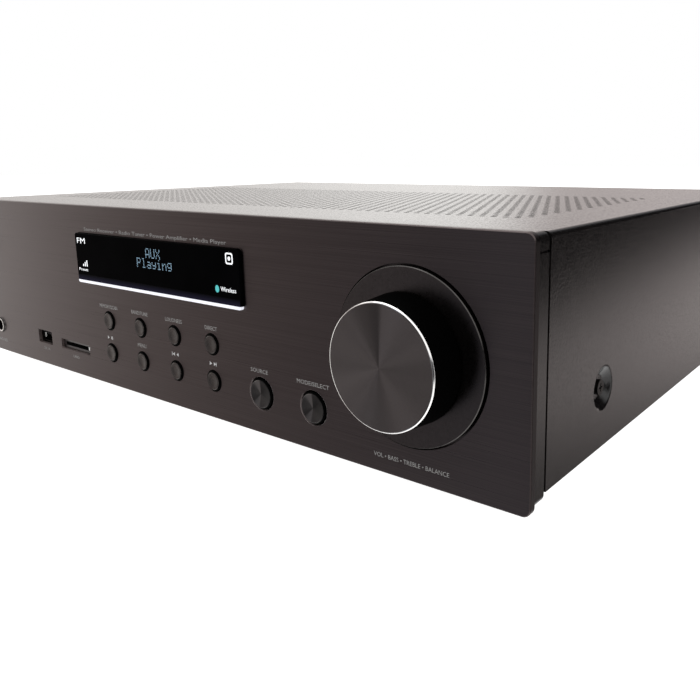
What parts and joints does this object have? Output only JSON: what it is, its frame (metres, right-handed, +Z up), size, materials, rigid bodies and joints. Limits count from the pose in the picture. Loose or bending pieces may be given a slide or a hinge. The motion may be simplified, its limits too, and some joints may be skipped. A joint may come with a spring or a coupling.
{
  "type": "stereo receiver",
  "caption": "Wide low stereo receiver with a brushed dark front, glossy display, push buttons, a large turning volume knob and a vented folded-steel cabinet on round feet.",
  "frame": {"origin": "on the shelf, under the middle of the whole receiver", "axes": "+X to the right seen from the front and along the longest extent, +Y to the rear, +Z up; the front faces -Y"},
  "size_m": [0.43, 0.341, 0.109],
  "materials": {
    "front_panel": "horizontally brushed, anodised dark brown-black",
    "frame_moulding": "fine satin moulding",
    "cabinet_coat": "fine leather-grain powder coat, warm black",
    "chassis_steel": "bare zinc-plated sheet",
    "rear_coat": "smooth matt black coat",
    "button_metal": "turned face, anodised black",
    "selector_metal": "spun face, anodised black",
    "knob_metal": "spun face, anodised black, bright cut bevel",
    "disc_metal": "smooth satin black with two bright rims",
    "shaft_steel": "turned",
    "display_acrylic": "polished smoke acrylic",
    "light_guide": "clear light guide, lit white",
    "socket_black": "moulded",
    "socket_metal": "nickel plated, bright",
    "socket_white": "moulded",
    "board_green": "solder mask",
    "part_black": "moulded component bodies",
    "cable_grey": "flat ribbon cable",
    "fin_aluminium": "mill-finished extrusion",
    "transformer_core": "taped copper and steel winding",
    "screw_black": "black oxide",
    "foot_rubber": "moulded",
    "terminal_red": "tinted fluted cap",
    "terminal_black": "tinted fluted cap",
    "contact_brass": "plated"
  },
  "bodies": {
    "cabinet": {"antenna_socket": "socket_metal", "base_tray": "chassis_steel", "board_standoffs": "chassis_steel", "button_carrier": "part_black", "card_slot": "socket_metal", "display_light_bar": "light_guide", "display_module": "part_black", "display_window": "display_acrylic", "foot_front_left": "foot_rubber", "foot_front_right": "foot_rubber", "foot_rear_left": "foot_rubber", "foot_rear_right": "foot_rubber", "foot_screws": "screw_black", "front_board": "board_green", "front_frame": "frame_moulding", "front_plate": "front_panel", "headphone_jack": "socket_black", "heatsink": "fin_aluminium", "knob_escutcheon": "disc_metal", "line_socket_block": "socket_black", "line_socket_shells": "socket_metal", "main_board": "board_green", "mains_inlet": "socket_black", "mains_pins": "contact_brass", "power_transistors": "part_black", "rear_panel": "rear_coat", "rear_screws": "screw_black", "reservoir_capacitors": "part_black", "ribbon_cable": "cable_grey", "side_screws": "screw_black", "speaker_studs": "contact_brass", "speaker_terminal_plate": "socket_black", "switch_housing": "socket_black", "tact_switches": "part_black", "top_cover": "cabinet_coat", "toroidal_transformer": "transformer_core", "transformer_clamp": "shaft_steel", "tuner_module": "socket_metal", "usb_shell": "socket_metal", "usb_tongue": "socket_white", "volume_encoder": "chassis_steel", "wireless_module": "socket_metal"},
    "knob": {"volume_knob": "knob_metal", "volume_shaft": "shaft_steel"},
    "rocker": {"power_rocker": "socket_black"},
    "key_upper_1_body": {"key_upper_1": "button_metal"},
    "key_upper_2_body": {"key_upper_2": "button_metal"},
    "key_upper_3_body": {"key_upper_3": "button_metal"},
    "key_upper_4_body": {"key_upper_4": "button_metal"},
    "key_lower_1_body": {"key_lower_1": "button_metal"},
    "key_lower_2_body": {"key_lower_2": "button_metal"},
    "key_lower_3_body": {"key_lower_3": "button_metal"},
    "key_lower_4_body": {"key_lower_4": "button_metal"},
    "source_button_body": {"source_button": "selector_metal"},
    "mode_button_body": {"mode_button": "selector_metal"},
    "standby_button_body": {"standby_button": "selector_metal"},
    "speaker_cap_1_body": {"speaker_cap_1": "terminal_black"},
    "speaker_cap_2_body": {"speaker_cap_2": "terminal_red"},
    "speaker_cap_3_body": {"speaker_cap_3": "terminal_black"},
    "speaker_cap_4_body": {"speaker_cap_4": "terminal_red"}
  },
  "joints": [
    {"name": "volume_turn", "type": "hinge", "parent": "cabinet", "child": "knob", "pos_m": [0.1631, -0.1616, 0.05965], "axis": [0, 1, 0], "continuous": true},
    {"name": "key_upper_1_press", "type": "slide", "parent": "cabinet", "child": "key_upper_1_body", "axis": [0, 1, 0], "range_m": [0, 0.0008], "stiffness_N_per_m": 1000, "springref_m": -0.0006},
    {"name": "key_upper_2_press", "type": "slide", "parent": "cabinet", "child": "key_upper_2_body", "axis": [0, 1, 0], "range_m": [0, 0.0008], "stiffness_N_per_m": 1000, "springref_m": -0.0006},
    {"name": "key_upper_3_press", "type": "slide", "parent": "cabinet", "child": "key_upper_3_body", "axis": [0, 1, 0], "range_m": [0, 0.0008], "stiffness_N_per_m": 1000, "springref_m": -0.0006},
    {"name": "key_upper_4_press", "type": "slide", "parent": "cabinet", "child": "key_upper_4_body", "axis": [0, 1, 0], "range_m": [0, 0.0008], "stiffness_N_per_m": 1000, "springref_m": -0.0006},
    {"name": "key_lower_1_press", "type": "slide", "parent": "cabinet", "child": "key_lower_1_body", "axis": [0, 1, 0], "range_m": [0, 0.0008], "stiffness_N_per_m": 1000, "springref_m": -0.0006},
    {"name": "key_lower_2_press", "type": "slide", "parent": "cabinet", "child": "key_lower_2_body", "axis": [0, 1, 0], "range_m": [0, 0.0008], "stiffness_N_per_m": 1000, "springref_m": -0.0006},
    {"name": "key_lower_3_press", "type": "slide", "parent": "cabinet", "child": "key_lower_3_body", "axis": [0, 1, 0], "range_m": [0, 0.0008], "stiffness_N_per_m": 1000, "springref_m": -0.0006},
    {"name": "key_lower_4_press", "type": "slide", "parent": "cabinet", "child": "key_lower_4_body", "axis": [0, 1, 0], "range_m": [0, 0.0008], "stiffness_N_per_m": 1000, "springref_m": -0.0006},
    {"name": "source_press", "type": "slide", "parent": "cabinet", "child": "source_button_body", "axis": [0, 1, 0], "range_m": [0, 0.0008], "stiffness_N_per_m": 1500, "springref_m": -0.0006},
    {"name": "mode_press", "type": "slide", "parent": "cabinet", "child": "mode_button_body", "axis": [0, 1, 0], "range_m": [0, 0.0008], "stiffness_N_per_m": 1500, "springref_m": -0.0006},
    {"name": "standby_press", "type": "slide", "parent": "cabinet", "child": "standby_button_body", "axis": [0, 1, 0], "range_m": [0, 0.0008], "stiffness_N_per_m": 1500, "springref_m": -0.0006},
    {"name": "speaker_cap_1_turn", "type": "hinge", "parent": "cabinet", "child": "speaker_cap_1_body", "pos_m": [-0.08, 0.1644, 0.0485], "axis": [0, 1, 0], "range_deg": [0, 1080]},
    {"name": "speaker_cap_2_turn", "type": "hinge", "parent": "cabinet", "child": "speaker_cap_2_body", "pos_m": [-0.08, 0.1644, 0.0725], "axis": [0, 1, 0], "range_deg": [0, 1080]},
    {"name": "speaker_cap_3_turn", "type": "hinge", "parent": "cabinet", "child": "speaker_cap_3_body", "pos_m": [-0.05, 0.1644, 0.0485], "axis": [0, 1, 0], "range_deg": [0, 1080]},
    {"name": "speaker_cap_4_turn", "type": "hinge", "parent": "cabinet", "child": "speaker_cap_4_body", "pos_m": [-0.05, 0.1644, 0.0725], "axis": [0, 1, 0], "range_deg": [0, 1080]},
    {"name": "power_rock", "type": "hinge", "parent": "cabinet", "child": "rocker", "pos_m": [-0.132, 0.1504, 0.0605], "axis": [1, 0, 0], "range_deg": [0, 16]}
  ]
}
